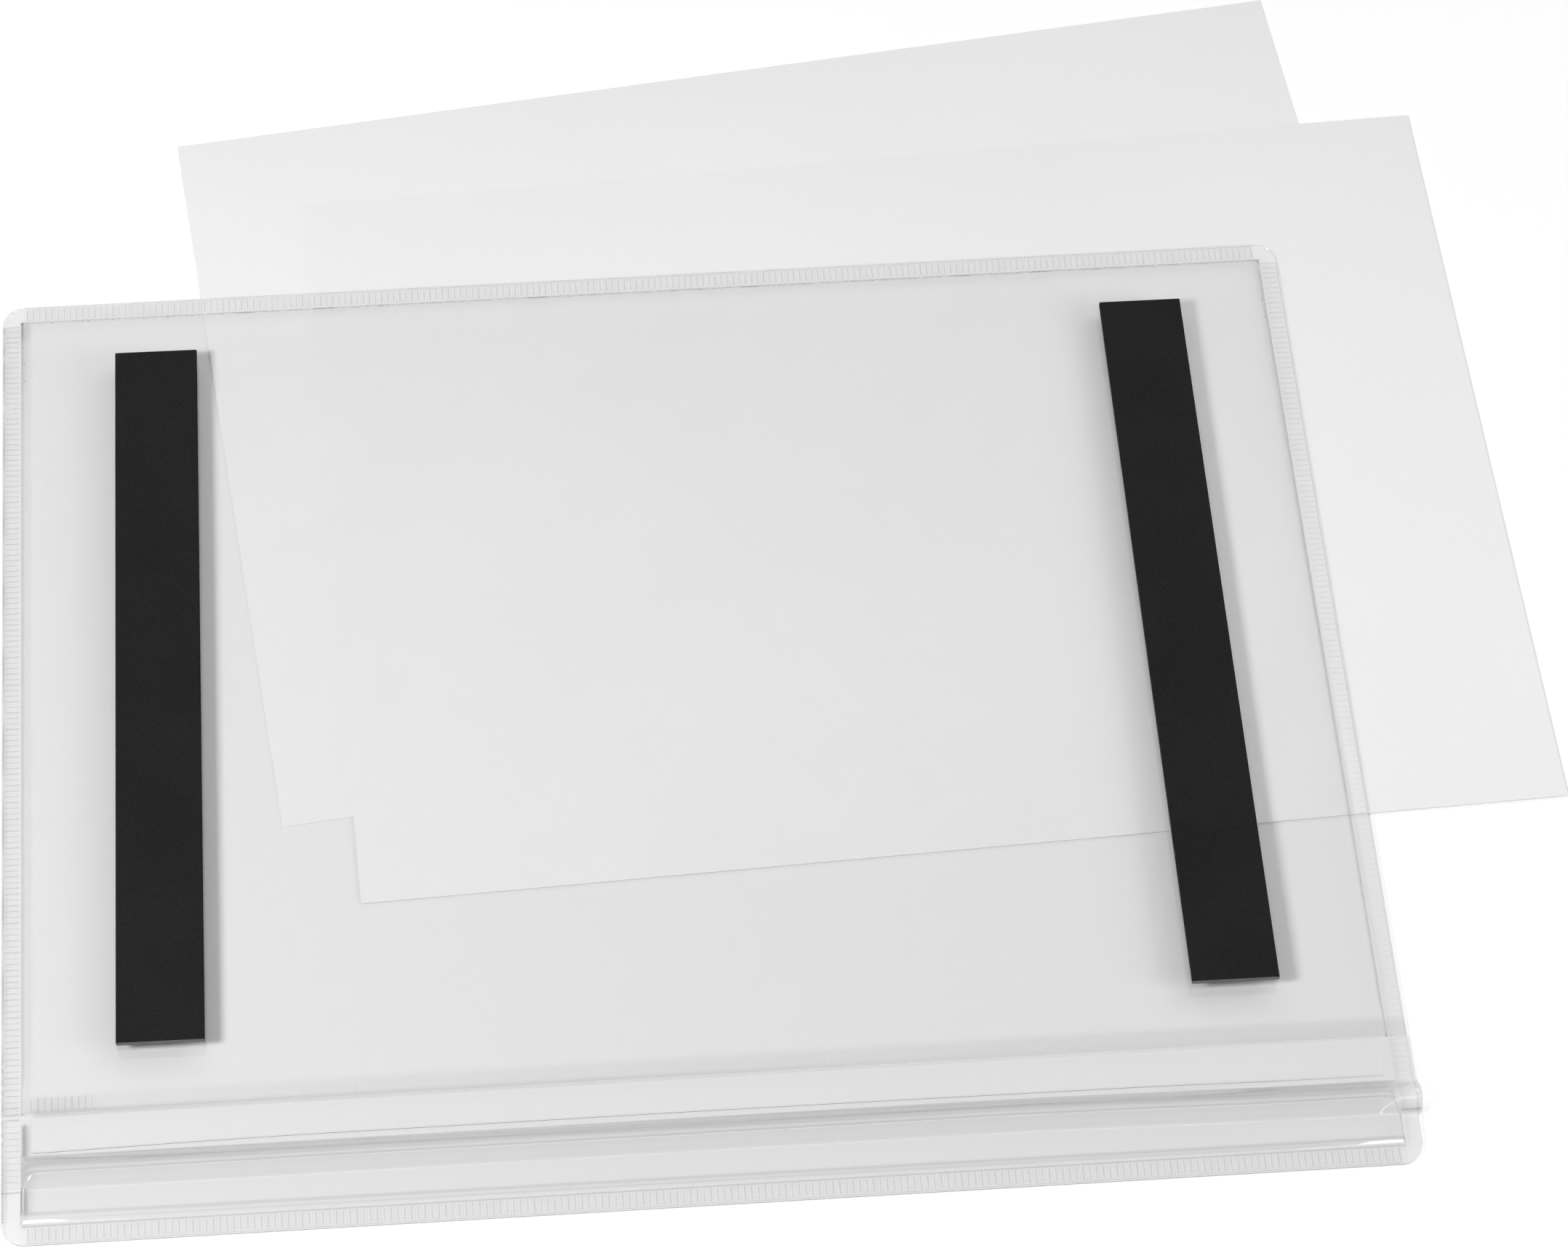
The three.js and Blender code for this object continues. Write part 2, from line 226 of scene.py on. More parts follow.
@dataclass(frozen=True)
class ClearFilmFinish:
    """Clear soft film. It lets lamps through, and has painted shade at creases and where it stands on edge.

    Attributes:
        name: The material's name.
        tint: What one surface lets through on the level.
        painted_shade_tint: What one surface lets through where shade is painted on the film.
        shadow_share: How much of that painted shade also darkens the film's shadow.
        slope_start: How far the surface leans before it gets painted shade, as one less the upright share.
        slope_full: How far it leans where its painted shade is darkest.
        roughness: The gloss.
        ripple: The depth of the film's fine unevenness, in metres.
    """

    name: str
    tint: Colour = (0.995, 0.995, 0.995)
    painted_shade_tint: Colour = (0.40, 0.402, 0.404)
    shadow_share: float = 0.5
    slope_start: float = 0.01
    slope_full: float = 1.2
    roughness: float = 0.04
    ripple: float = 0.00002

    ior = 1.45
    ripple_fineness = 260.0
    patch_fineness = 24.0

    def material(self, effects: Effects) -> bpy.types.Material:
        """Returns the film's material."""
        made = bpy.data.materials.new(self.name)
        made.use_nodes = True
        tree = Tree(made.node_tree)
        # Painted shade: the film is darkened where it stands up from the level and where its shade attribute is
        # set
        slope = tree.add("ShaderNodeGroup", node_tree=effects.slope)
        slope.inputs["Start"].default_value = self.slope_start
        slope.inputs["Full"].default_value = self.slope_full
        haze_and_painted_shade = tree.add("ShaderNodeAttribute", attribute_name=SHADE_ATTRIBUTE).outputs["Fac"]
        painted_shade_share = tree.maths("ADD", slope.outputs["Mask"], haze_and_painted_shade, clamped=True)
        clear = tree.mix(painted_shade_share, colour4(self.tint), colour4(self.painted_shade_tint))
        grain = tree.add("ShaderNodeGroup", {"Fineness": self.ripple_fineness,
                                             "Patch Fineness": self.patch_fineness}, node_tree=effects.grain)
        uneven = tree.add("ShaderNodeBump", {"Height": grain.outputs["Patches"], "Distance": self.ripple,
                                             "Strength": 1.0})
        film = tree.add("ShaderNodeBsdfPrincipled", {
            "Base Color": clear, "Roughness": self.roughness, "IOR": self.ior,
            "Transmission Weight": 1.0, "Normal": uneven.outputs[0],
        })
        # A share of that painted shade also darkens the light that lamps send through the film
        softer = tree.maths("MULTIPLY", painted_shade_share, self.shadow_share)
        open_film = tree.add("ShaderNodeBsdfTransparent", {
            "Color": tree.mix(softer, colour4(self.tint), colour4(self.painted_shade_tint)),
        })
        path = tree.add("ShaderNodeLightPath")
        soft_light = tree.maths("MAXIMUM", path.outputs["Is Shadow Ray"], path.outputs["Is Diffuse Ray"])
        straight = tree.maths("MAXIMUM", soft_light, tree.maths("LESS_THAN", haze_and_painted_shade, CUT_EDGE / 2))
        shown = tree.add("ShaderNodeMixShader", {0: straight, 1: film.outputs[0], 2: open_film.outputs[0]})
        tree.add("ShaderNodeOutputMaterial", {"Surface": shown.outputs[0]})
        return made


@dataclass(frozen=True)
class MagnetFinish:
    """Matte black flexible magnet with a fine mineral grain, and lighter on its end faces: partly their cut
    colour, partly painted light.
    """

    name: str = "magnet_black"
    dark: Colour = (0.0045, 0.0045, 0.0047)
    light: Colour = (0.0105, 0.0105, 0.0108)
    cut: Colour = (0.22, 0.22, 0.223)
    roughness: float = 0.7
    gloss: float = 0.15
    grain_depth: float = 0.000025

    grain_fineness = 2600.0
    patch_fineness = 40.0

    def material(self, effects: Effects) -> bpy.types.Material:
        """Returns the magnet's material."""
        made = bpy.data.materials.new(self.name)
        made.use_nodes = True
        tree = Tree(made.node_tree)
        grain = tree.add("ShaderNodeGroup", {"Fineness": self.grain_fineness,
                                             "Patch Fineness": self.patch_fineness}, node_tree=effects.grain)
        speckle = grain.outputs["Speckle"]
        worn = tree.ramp(speckle, 0.35, 0.7)
        face = tree.mix(worn, colour4(self.dark), colour4(self.light))
        # Painted light in part: only the faces that look along Y, the two ends, get the lighter cut colour, not
        # the cut long sides
        normal = tree.add("ShaderNodeNewGeometry").outputs["Normal"]
        ahead = tree.maths("ABSOLUTE", tree.add("ShaderNodeSeparateXYZ", {0: normal}).outputs["Y"])
        colour = tree.mix(tree.ramp(ahead, 0.4, 0.9), face, colour4(self.cut))
        rough = tree.ramp(grain.outputs["Patches"], 0.3, 0.7, (self.roughness - 0.06, self.roughness + 0.06))
        relief = tree.add("ShaderNodeBump", {"Height": speckle, "Distance": self.grain_depth, "Strength": 1.0})
        body = tree.add("ShaderNodeBsdfPrincipled", {"Base Color": colour, "Roughness": rough,
                                                     "Specular IOR Level": self.gloss,
                                                     "Normal": relief.outputs[0]})
        tree.add("ShaderNodeOutputMaterial", {"Surface": body.outputs[0]})
        return made


@dataclass(frozen=True)
class SheetFinish:
    """A matte sheet: card, or the backing of a tape.

    Attributes:
        name: The material's name.
        colour: Its main colour.
        shade: The colour of its darker patches.
        roughness: The gloss.
        fibre_fineness: How fine its fibres are.
        fibre_depth: How deep they are, in metres.
    """

    name: str
    colour: Colour
    shade: Colour
    roughness: float
    fibre_fineness: float
    fibre_depth: float

    patch_fineness = 14.0

    def material(self, effects: Effects) -> bpy.types.Material:
        """Returns the sheet's material."""
        made = bpy.data.materials.new(self.name)
        made.use_nodes = True
        tree = Tree(made.node_tree)
        grain = tree.add("ShaderNodeGroup", {"Fineness": self.fibre_fineness,
                                             "Patch Fineness": self.patch_fineness}, node_tree=effects.grain)
        mottle = tree.maths("MULTIPLY", grain.outputs["Speckle"], grain.outputs["Patches"])
        colour = tree.mix(tree.ramp(mottle, 0.1, 0.45), colour4(self.shade), colour4(self.colour))
        relief = tree.add("ShaderNodeBump", {"Height": grain.outputs["Speckle"], "Distance": self.fibre_depth,
                                             "Strength": 1.0})
        body = tree.add("ShaderNodeBsdfPrincipled", {"Base Color": colour, "Roughness": self.roughness,
                                                     "Normal": relief.outputs[0]})
        tree.add("ShaderNodeOutputMaterial", {"Surface": body.outputs[0]})
        return made


@dataclass(frozen=True)
class TableFinish:
    """A white table. Seen through the film it keeps its own tone, and elsewhere it is the white background."""

    name: str = "table_white"
    tone: Colour = (0.838, 0.838, 0.838)
    background: Colour = (0.93, 0.93, 0.93)
    lift: float = 0.1

    def material(self) -> bpy.types.Material:
        """Returns the table's material."""
        made = bpy.data.materials.new(self.name)
        made.use_nodes = True
        tree = Tree(made.node_tree)
        path = tree.add("ShaderNodeLightPath")
        mirrored = tree.maths("SUBTRACT", path.outputs["Is Glossy Ray"], path.outputs["Is Transmission Ray"],
                              clamped=True)
        direct = tree.maths("MAXIMUM", path.outputs["Is Camera Ray"], mirrored)
        colour = tree.mix(direct, colour4(self.tone), colour4(self.background))
        matte = tree.add("ShaderNodeBsdfDiffuse", {"Color": colour})
        glow = tree.add("ShaderNodeEmission", {"Strength": tree.maths("MULTIPLY", direct, self.lift)})
        both = tree.add("ShaderNodeAddShader", {0: matte.outputs[0], 1: glow.outputs[0]})
        tree.add("ShaderNodeOutputMaterial", {"Surface": both.outputs[0]})
        return made


def lay_grid(xs: list[float], ys: list[float]) -> bmesh.types.BMesh:
    """Lays a flat rectangle and cuts it across at every station.

    Args:
        xs: Stations along X, with the rectangle's two ends.
        ys: Stations along Y, with the rectangle's two ends.

    Returns:
        The cut rectangle, in millimetres, facing up.
    """
    bm = bmesh.new()
    bmesh.ops.create_grid(bm, x_segments=1, y_segments=1, size=0.5)
    middle = Vector(((xs[0] + xs[-1]) / 2, (ys[0] + ys[-1]) / 2, 0))
    spread = Matrix.Diagonal((xs[-1] - xs[0], ys[-1] - ys[0], 1, 1))
    bmesh.ops.transform(bm, verts=bm.verts, matrix=Matrix.Translation(middle) @ spread)
    for axis, places in ((Vector((1, 0, 0)), xs[1:-1]), (Vector((0, 1, 0)), ys[1:-1])):
        for place in places:
            bmesh.ops.bisect_plane(bm, geom=[*bm.verts, *bm.edges, *bm.faces], dist=1e-4,
                                   plane_co=axis * place, plane_no=axis)
    return bm


def round_corner(bm: bmesh.types.BMesh, centre: Vector, radius: float, start: float, facets: int) -> None:
    """Trims one corner of a flat sheet to a quarter circle.

    Args:
        bm: The sheet.
        centre: The middle of the circle.
        radius: The circle's radius.
        start: The angle at which the quarter begins, in radians.
        facets: How many flats the quarter has.
    """
    step = math.pi / 2 / facets
    for i in range(facets):
        here = start + i * step
        rim = centre + radius * Vector((math.cos(here), math.sin(here), 0))
        outward = Vector((math.cos(here + step / 2), math.sin(here + step / 2), 0))
        bmesh.ops.bisect_plane(bm, geom=[*bm.verts, *bm.edges, *bm.faces], dist=1e-4,
                               plane_co=rim, plane_no=outward, clear_outer=True)


@dataclass(frozen=True)
class RibRow:
    """A row of ribs that the welding tool presses into a band of film. Each rib lies across the band.

    Attributes:
        runs: The direction of the row.
        start: Where the row starts, along that direction.
        end: Where it ends.
        near: The lower edge of the band, across that direction.
        far: Its upper edge.
        cut_near: From where the mesh is cut as finely as the ribs are.
        cut_far: To where it is.
        height: How high the ribs stand.
        pitch: From one rib to the next.
    """

    runs: Axis
    start: float
    end: float
    near: float
    far: float
    cut_near: float
    cut_far: float
    height: float
    pitch: float

    facets = 6
    gather = 0.042
    end_fade = 0.35
    crown_dip = 0.3
    groove_power = 0.55
    groove_reach = 0.32
    middle_reach = 0.25
    middle_share = 0.4

    @property
    def count(self) -> int:
        """How many whole ribs fit."""
        return int((self.end - self.start) / self.pitch)

    @property
    def first(self) -> float:
        """Where the first rib starts, with the ribs in the middle of the row."""
        return (self.start + self.end - self.count * self.pitch) / 2

    def cut(self, bm: bmesh.types.BMesh) -> None:
        """Cuts the band at every groove, and each rib into facets.

        Args:
            bm: The flat sheet, with stations at the band's edges.
        """
        along, across = self.runs.value, 1 - self.runs.value
        last = self.first + self.count * self.pitch

        def inside(place: Vector) -> bool:
            return (self.cut_near < place[across] < self.cut_far
                    and self.first - self.pitch < place[along] < last + self.pitch)

        normal = Vector((1, 0, 0)) if self.runs is Axis.X else Vector((0, 1, 0))
        ahead = [f for f in bm.faces if inside(f.calc_center_median())]
        for i in range(self.count + 1):
            groove = self.first + i * self.pitch
            geom = [*ahead, *{e for f in ahead for e in f.edges}, *{v for f in ahead for v in f.verts}]
            cut = bmesh.ops.bisect_plane(bm, geom=geom, dist=1e-4, plane_co=normal * groove, plane_no=normal)
            faces = [f for f in cut["geom"] if isinstance(f, bmesh.types.BMFace)]
            ahead = [f for f in faces if f.calc_center_median()[along] > groove]
        facet = self.pitch / self.facets
        by_cuts: dict[int, list[bmesh.types.BMEdge]] = {}
        for edge in bm.edges:
            a, b = edge.verts[0].co, edge.verts[1].co
            middle = (a + b) / 2
            level = abs(a[across] - b[across]) < 1e-3
            if (level and self.cut_near - 1e-3 < middle[across] < self.cut_far + 1e-3
                    and self.first < middle[along] < last):
                by_cuts.setdefault(round(abs(a[along] - b[along]) / facet) - 1, []).append(edge)
        for cuts, edges in by_cuts.items():
            if cuts > 0:
                bmesh.ops.subdivide_edges(bm, edges=edges, cuts=cuts, use_grid_fill=True)
        for vert in bm.verts:
            if (self.cut_near - 1e-3 < vert.co[across] < self.cut_far + 1e-3
                    and self.first < vert.co[along] < last):
                turn = 4 * math.pi * self.share(vert.co.x, vert.co.y)
                vert.co[along] -= self.gather * self.pitch * math.sin(turn)

    def share(self, x: float, y: float) -> float:
        """Returns how far along its rib a place lies, from 0 in one groove to 1 in the next."""
        along = x if self.runs is Axis.X else y
        return ((along - self.first) / self.pitch) % 1.0

    def fade(self, x: float, y: float) -> float:
        """Returns 1 on the ribs, falling to 0 at their ends and outside the row."""
        along, across = (x, y) if self.runs is Axis.X else (y, x)
        slack = 1e-3
        if not self.first - slack <= along <= self.first + self.count * self.pitch + slack:
            return 0.0
        return ease((across - self.near) / self.end_fade) * ease((self.far - across) / self.end_fade)

    def relief(self, x: float, y: float) -> float:
        """Returns how high the ribs stand at a place."""
        share = self.share(x, y)
        crown = abs(math.sin(math.pi * share)) ** self.groove_power
        crown -= self.crown_dip * max(0.0, 1 - abs(share - 0.5) * self.facets)
        return self.height * crown * self.fade(x, y)

    def mark(self, x: float, y: float) -> float:
        """Returns the painted shade of the ribs: most in the grooves, less along each rib's middle."""
        share = self.share(x, y)
        along = x if self.runs is Axis.X else y
        rib = round((along - self.first) / self.pitch)
        groove = clamp(1 - min(share, 1 - share) * self.pitch / self.groove_reach)
        middle = clamp(1 - abs(share - 0.5) * self.pitch / self.middle_reach)
        uneven = 0.9 + 0.1 * math.sin(2.4 * rib)
        return max(groove * uneven, self.middle_share * middle) * self.fade(x, y)


@dataclass
class FilmSheet:
    """One closed sheet of film, made from a flat cut sheet.

    Attributes:
        name: The piece's name.
        bm: The flat sheet, in millimetres.
        underside: The height of its underside at a place.
        thickness: The film's thickness.
        relief: What its top adds to its thickness at a place.
        haze_and_painted_shade: The film's haze and its painted shade at a place, from 0 to 1.
        rim: How far its cut edges are rounded.
    """

    name: str
    bm: bmesh.types.BMesh
    underside: Height
    thickness: float
    relief: Height = level
    haze_and_painted_shade: Height = level
    rim: float = 0.05

    def build(self, corner: Vector) -> bpy.types.Object:
        """Gives the sheet its shape and thickness and makes its object.

        Args:
            corner: The pocket's lower left corner on the table, in the frame.

        Returns:
            The piece, at the origin, with its place in its mesh.
        """
        bm = self.bm
        haze_and_shade_marks = bm.verts.layers.float.new(SHADE_ATTRIBUTE)
        for vert in bm.verts:
            vert.co.z = self.underside(vert.co.x, vert.co.y)
        grown = bmesh.ops.extrude_face_region(bm, geom=list(bm.faces), use_keep_orig=True)
        top = [v for v in grown["geom"] if isinstance(v, bmesh.types.BMVert)]
        top_faces = {f for f in grown["geom"] if isinstance(f, bmesh.types.BMFace)}
        bmesh.ops.translate(bm, verts=top, vec=(0, 0, self.thickness))
        for vert in top:
            vert.co.z += self.relief(vert.co.x, vert.co.y)
        rim_edges = [e for e in {e for f in top_faces for e in f.edges}
                     if any(f not in top_faces for f in e.link_faces)]
        rounded = bmesh.ops.bevel(bm, geom=rim_edges, offset=self.rim, offset_type="OFFSET", segments=2,
                                  profile=0.5, affect="EDGES", material=-1)
        bmesh.ops.recalc_face_normals(bm, faces=bm.faces)
        # Each vertex keeps the film's haze and painted shade for its material
        for vert in bm.verts:
            vert[haze_and_shade_marks] = clamp(self.haze_and_painted_shade(vert.co.x, vert.co.y))
        for vert in rounded["verts"]:
            vert[haze_and_shade_marks] = CUT_EDGE
        place = Matrix.Translation(corner) @ Matrix.Scale(MM, 4)
        bmesh.ops.transform(bm, verts=bm.verts, matrix=place)
        return finished(self.name, bm)


def finished(name: str, bm: bmesh.types.BMesh, sharp_from: float = 50.0) -> bpy.types.Object:
    """Makes an object of a mesh that is in place, shaded smooth but for its sharp edges.

    Args:
        name: The piece's name.
        bm: The mesh, in metres and in the frame. It is used up.
        sharp_from: The least angle of a sharp edge, in degrees.

    Returns:
        The new object, linked to the scene.
    """
    mesh = bpy.data.meshes.new(name)
    bm.to_mesh(mesh)
    bm.free()
    for polygon in mesh.polygons:
        polygon.use_smooth = True
    mesh.set_sharp_from_angle(angle=math.radians(sharp_from))
    made = bpy.data.objects.new(name, mesh)
    bpy.context.scene.collection.objects.link(made)
    return made


def dress(piece: bpy.types.Object, material: bpy.types.Material, slot: str, *nodes: str) -> None:
    """Gives a new piece its material and its body, and hides the nodes that it stands for.

    Args:
        piece: The new piece.
        material: Its material.
        slot: A name for its finish. It is not used.
        nodes: The nodes that it replaces.
    """
    piece.data.materials.append(material)
    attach(piece, BODY)
    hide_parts(*nodes)
    log.info("%s: %d faces", piece.name, len(piece.data.polygons))


@dataclass
class ClearPocket:
    """The pocket's four clear films. Sizes are millimetres from its lower left corner."""

    corner: Vector
    width: float
    height: float

    seam: float = 4.7
    corner_radius: float = 5.8
    corner_facets: int = 12
    film: float = 0.23
    layer_gap: float = 0.02

    film_haze: float = 0.068

    # Ribs
    pitch: float = 1.59
    rib_height: float = 0.14
    rib_outer: float = 0.7
    rib_inner: float = 0.2
    lip_height: float = 0.05
    seam_plain: float = 1.2

    # The back film's lift: a steep wall at the weld, then a slow swell
    puff: float = 2.5
    puff_run: float = 13.0
    puff_power: float = 4.0
    side_wall: float = 0.8
    top_wall: float = 0.7
    wall_run: float = 1.3
    scallop: float = 0.13
    scallop_start: float = 225.0
    scallop_run: float = 25.0

    # The hinge band of the flap
    back_edge: float = 33.3
    hinge_weld: float = 4.2
    hinge_lift: float = 1.25
    hinge_run: float = 10.0
    flap_drop: float = 10.2
    flap_inset: float = 7.2
    flap_spring: float = 1.5
    flap_curl: float = 0.15
    flap_curl_reach: float = 4.0
    flap_droop: float = 0.5
    hinge_sag: float = 0.45
    hinge_sag_reach: float = 70.0
    sag_run: float = 45.0

    # The lower strip and its ridge
    strip_lift: float = 1.2
    step_lift: float = 0.4
    step_run: float = 0.35
    streak_slope: float = 0.285
    streak_bend: float = 0.015
    streak_width: float = 1.4
    streak_reach: float = 43.0
    streak_fade: float = 40.0
    strip_tuck: float = 0.25
    strip_gap: float = 0.3
    ridge_top: float = 3.6
    ridge_skew: float = 0.85
    ridge_power: float = 1.45
    ridge_near: float = 13.4
    ridge_width: float = 9.5
    ridge_drift: float = 0.9
    ridge_side_run: float = 4.5
    ridge_seam_run: float = 5.0
    seam_crest: float = 2.7
    ear: float = 0.35
    ear_bulge: float = 0.3
    draw_in: float = 0.55

    def __post_init__(self) -> None:
        """Takes the levels of the films from the frame and lays out the rows of ribs."""
        self.front_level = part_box("front_film")[0].z / MM + self.layer_gap
        self.back_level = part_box("back_film")[0].z / MM
        self.strip_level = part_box("lower_strip")[0].z / MM
        self.flap_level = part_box("rain_flap")[0].z / MM
        self.right_weld = self.width - self.seam
        self.top_weld = self.height - self.seam
        self.hinge_top = self.back_edge + self.hinge_weld
        self.ridge_far = self.ridge_near + self.ridge_width
        self.strip_edge = self.back_edge - self.strip_gap
        low, high = self.seam + self.seam_plain, self.top_weld - self.seam_plain
        right = self.right_weld - self.seam_plain
        self.top_row = self.seam_row(Axis.X, low, right, True)
        self.left_row = self.seam_row(Axis.Y, self.back_edge + 0.2, high, False)
        self.right_row = self.seam_row(Axis.Y, self.back_edge + 0.2, high, True)
        self.bottom_row = self.seam_row(Axis.X, low, right, False)
        self.strip_left_row = self.seam_row(Axis.Y, self.ridge_near + 0.6, self.strip_edge - 0.2, False)
        self.strip_right_row = self.seam_row(Axis.Y, self.ridge_far, self.strip_edge - 0.2, True)
        self.hinge_row = RibRow(Axis.X, self.flap_inset, self.width - self.flap_inset, self.back_edge + 0.3,
                                self.hinge_top - 0.1, self.back_edge + 0.3, self.hinge_top, 0.1, self.pitch)

    def seam_row(self, runs: Axis, start: float, end: float, high_side: bool) -> RibRow:
        """Returns the ribs of one seam.

        Args:
            runs: The direction of the seam.
            start: Where the row starts.
            end: Where it ends.
            high_side: Whether the seam is the right or the top one.
        """
        near, far = self.rib_outer, self.seam - self.rib_inner
        cut_near, cut_far = near, self.seam + self.wall_run
        if high_side:
            span = self.width if runs is Axis.Y else self.height
            near, far = span - far, span - near
            cut_near, cut_far = span - cut_far, span - cut_near
        return RibRow(runs, start, end, near, far, cut_near, cut_far, self.rib_height, self.pitch)

    def from_sides(self, x: float) -> float:
        """Returns how far inside the nearer side weld a place lies."""
        return min(x - self.seam, self.right_weld - x)

    def rim_distance(self, x: float, y: float) -> float:
        """Returns how far a place lies inside the outline, away from the rounded corners."""
        across, up = min(x, self.width - x), min(y, self.height - y)
        if max(across, up) < self.corner_radius:
            return self.corner_radius
        return min(across, up)

    def haze(self, x: float, y: float) -> float:
        """Returns the film's slight haze, which the welding tool has squeezed out of the seams."""
        inside = min(self.from_sides(x), y - self.seam, self.top_weld - y)
        return self.film_haze * (0.2 + 0.8 * ease((inside + 0.3) / 0.5))

    def lip(self, x: float, y: float) -> float:
        """Returns the height of the bead that the weld squeezes out along the outer edge."""
        return self.lip_height * bump_at(self.rim_distance(x, y), 0.38, 0.36)

    def bead_foot_painted_shade(self, x: float, y: float) -> float:
        """Returns the painted shade along the foot of that bead: a dark line, darker and dotted on the left."""
        on_left = ease((self.seam - x) / 1.5)
        dots = 1 - on_left * 0.3 * (1 + self.teeth(self.left_row, x, y, 2))
        return (0.25 + 0.6 * on_left) * dots * bump_at(self.rim_distance(x, y), 0.45, 0.36)

    def edge_stations(self, span: float) -> list[float]:
        """Returns the stations across both seams of the pocket and the walls inside them."""
        seam = self.seam
        low = [0.0, 0.18, 0.38, 0.52, self.rib_outer, self.rib_outer + 0.35, 3.4,
               seam - self.rib_inner - 0.35, seam - self.rib_inner, seam]
        low += [seam + self.wall_run * s for s in (0.18, 0.36, 0.56, 0.78, 1.0)]
        rest = self.puff_run - self.wall_run
        low += [seam + self.wall_run + rest * s for s in (0.05, 0.12, 0.22, 0.34, 0.5, 0.66, 0.82, 1.0)]
        return low + [span - value for value in reversed(low)]

    def filled(self, stations: list[float], widest: float) -> list[float]:
        """Returns the stations in order, with more of them wherever they lie far apart."""
        ordered = sorted(stations)
        result = [ordered[0]]
        for value in ordered[1:]:
            if value - result[-1] < 0.04:
                continue
            parts = math.ceil((value - result[-1]) / widest)
            start = result[-1]
            result += [start + (value - start) * (i + 1) / parts for i in range(parts)]
        return result

    def round_corners(self, bm: bmesh.types.BMesh, top: bool = True, bottom: bool = True) -> None:
        """Rounds the pocket's outer corners on a sheet."""
        r = self.corner_radius
        left, right, low, high = r, self.width - r, r, self.height - r
        if bottom:
            round_corner(bm, Vector((left, low, 0)), r, math.pi, self.corner_facets)
            round_corner(bm, Vector((right, low, 0)), r, -math.pi / 2, self.corner_facets)
        if top:
            round_corner(bm, Vector((right, high, 0)), r, 0.0, self.corner_facets)
            round_corner(bm, Vector((left, high, 0)), r, math.pi / 2, self.corner_facets)

    def shift_edge(self, bm: bmesh.types.BMesh, ear: bool) -> None:
        """Draws a film's right edge in below the ridge.

        Args:
            bm: The flat film.
            ear: Whether the edge is also pushed out from the ridge on, as the strip's is.
        """
        for vert in bm.verts:
            x, y = vert.co.x, vert.co.y
            t = self.ridge_share(x, y)
            below = 1 - ease((t + 0.1) / 0.2)
            vert.co.x -= self.draw_in * below * ease((x - (self.width - 7)) / 6)
            if ear:
                out = self.ear * ease(t / 0.04) + self.ear_bulge * math.sin(math.pi * clamp(t))
                vert.co.x += out * clamp(x - (self.width - 1))

    def ridge_share(self, x: float, y: float) -> float:
        """Returns how far across the ridge a place lies. The ridge drifts forward towards the right."""
        drift = self.ridge_drift * ease((x - 230) / 80)
        return (y + drift - self.ridge_near) / self.ridge_width

    def ridge(self, x: float, y: float, near_base: float, far_base: float) -> float:
        """Returns the height of the ridge across the strip, over a base level before and after it."""
        t = self.ridge_share(x, y)
        if t <= 0:
            return near_base
        if t >= 1:
            return far_base
        t = t ** self.ridge_skew
        base = near_base if t < 0.5 else far_base
        return base + (self.ridge_top - base) * math.sin(math.pi * t) ** self.ridge_power

    def seam_lift(self, x: float, y: float) -> float:
        """Returns how far the ridge lifts the films where it runs out through the right seam."""
        reach = ease((x - (self.right_weld - self.ridge_seam_run)) / self.ridge_seam_run)
        return self.ridge(x, y, 0, 0) * reach * self.seam_crest / self.ridge_top

    def build_front(self) -> bpy.types.Object:
        """Returns the full front film, which lies flat underneath."""
        ridge_stations = [self.ridge_near + self.ridge_width * i / 24 for i in range(-3, 25)]
        xs = [0, self.seam, self.right_weld - self.ridge_seam_run, self.right_weld, self.width - 1, self.width]
        ys = [0, self.seam, *ridge_stations, self.strip_edge, self.top_weld, self.height]
        bm = lay_grid(self.filled(xs, 6), self.filled(ys, 12))
        self.round_corners(bm)
        self.shift_edge(bm, ear=False)

        def underside(x: float, y: float) -> float:
            return self.front_level + max(0.0, self.seam_lift(x, y) - 0.3)

        return FilmSheet("clear_front_film", bm, underside, self.film, level, self.haze).build(self.corner)

    def wall(self, distance: float, rise: float, run: float) -> float:
        """Returns the lift of the back film at a distance from its weld."""
        slow = (self.puff - rise) * swell(distance / self.puff_run, self.puff_power)
        return rise * ease(distance / run) + slow

    def sag(self, x: float) -> float:
        """Returns how much lower the hinge band lies towards the pocket's sides."""
        return self.hinge_sag * (1 - ease(self.from_sides(x) / self.hinge_sag_reach))

    def teeth(self, row: RibRow, x: float, y: float, times: int) -> float:
        """Returns a wave from -1 to 1 in step with a row's ribs."""
        return math.cos(2 * math.pi * times * row.share(x, y))

    def back_underside(self, x: float, y: float) -> float:
        """Returns the level of the back film's underside."""
        from_top = self.top_weld - y - self.scallop * (1 + self.teeth(self.top_row, x, y, 1))
        high = ease((y - self.scallop_start) / self.scallop_run)
        side = self.from_sides(x) - 0.6 * self.scallop * high * (1 + self.teeth(self.left_row, x, y, 1))
        if min(side, from_top) <= 0:
            return self.back_level
        across = self.wall(side, self.side_wall, self.wall_run)
        down = self.wall(from_top, self.top_wall, 1.1)
        eased = self.hinge_lift + (self.puff - self.hinge_lift) * ease((y - self.hinge_top) / self.hinge_run)
        eased -= self.sag(x) * (1 - ease((y - self.hinge_top) / self.sag_run))
        return self.back_level + max(0.0, soft_min(soft_min(across, down, 0.15), eased, 0.15))

    def back_relief(self, x: float, y: float) -> float:
        """Returns the height of the back film's ribs and of its lip."""
        ends = 0.35 + 0.65 * ease((24 - x) / 6)
        rows = sum(row.relief(x, y) for row in (self.top_row, self.left_row, self.right_row))
        feather = (self.film - 0.08) * ease(1 - (y - self.back_edge) / 1.6)
        return rows + self.hinge_row.relief(x, y) * ends + self.lip(x, y) - feather

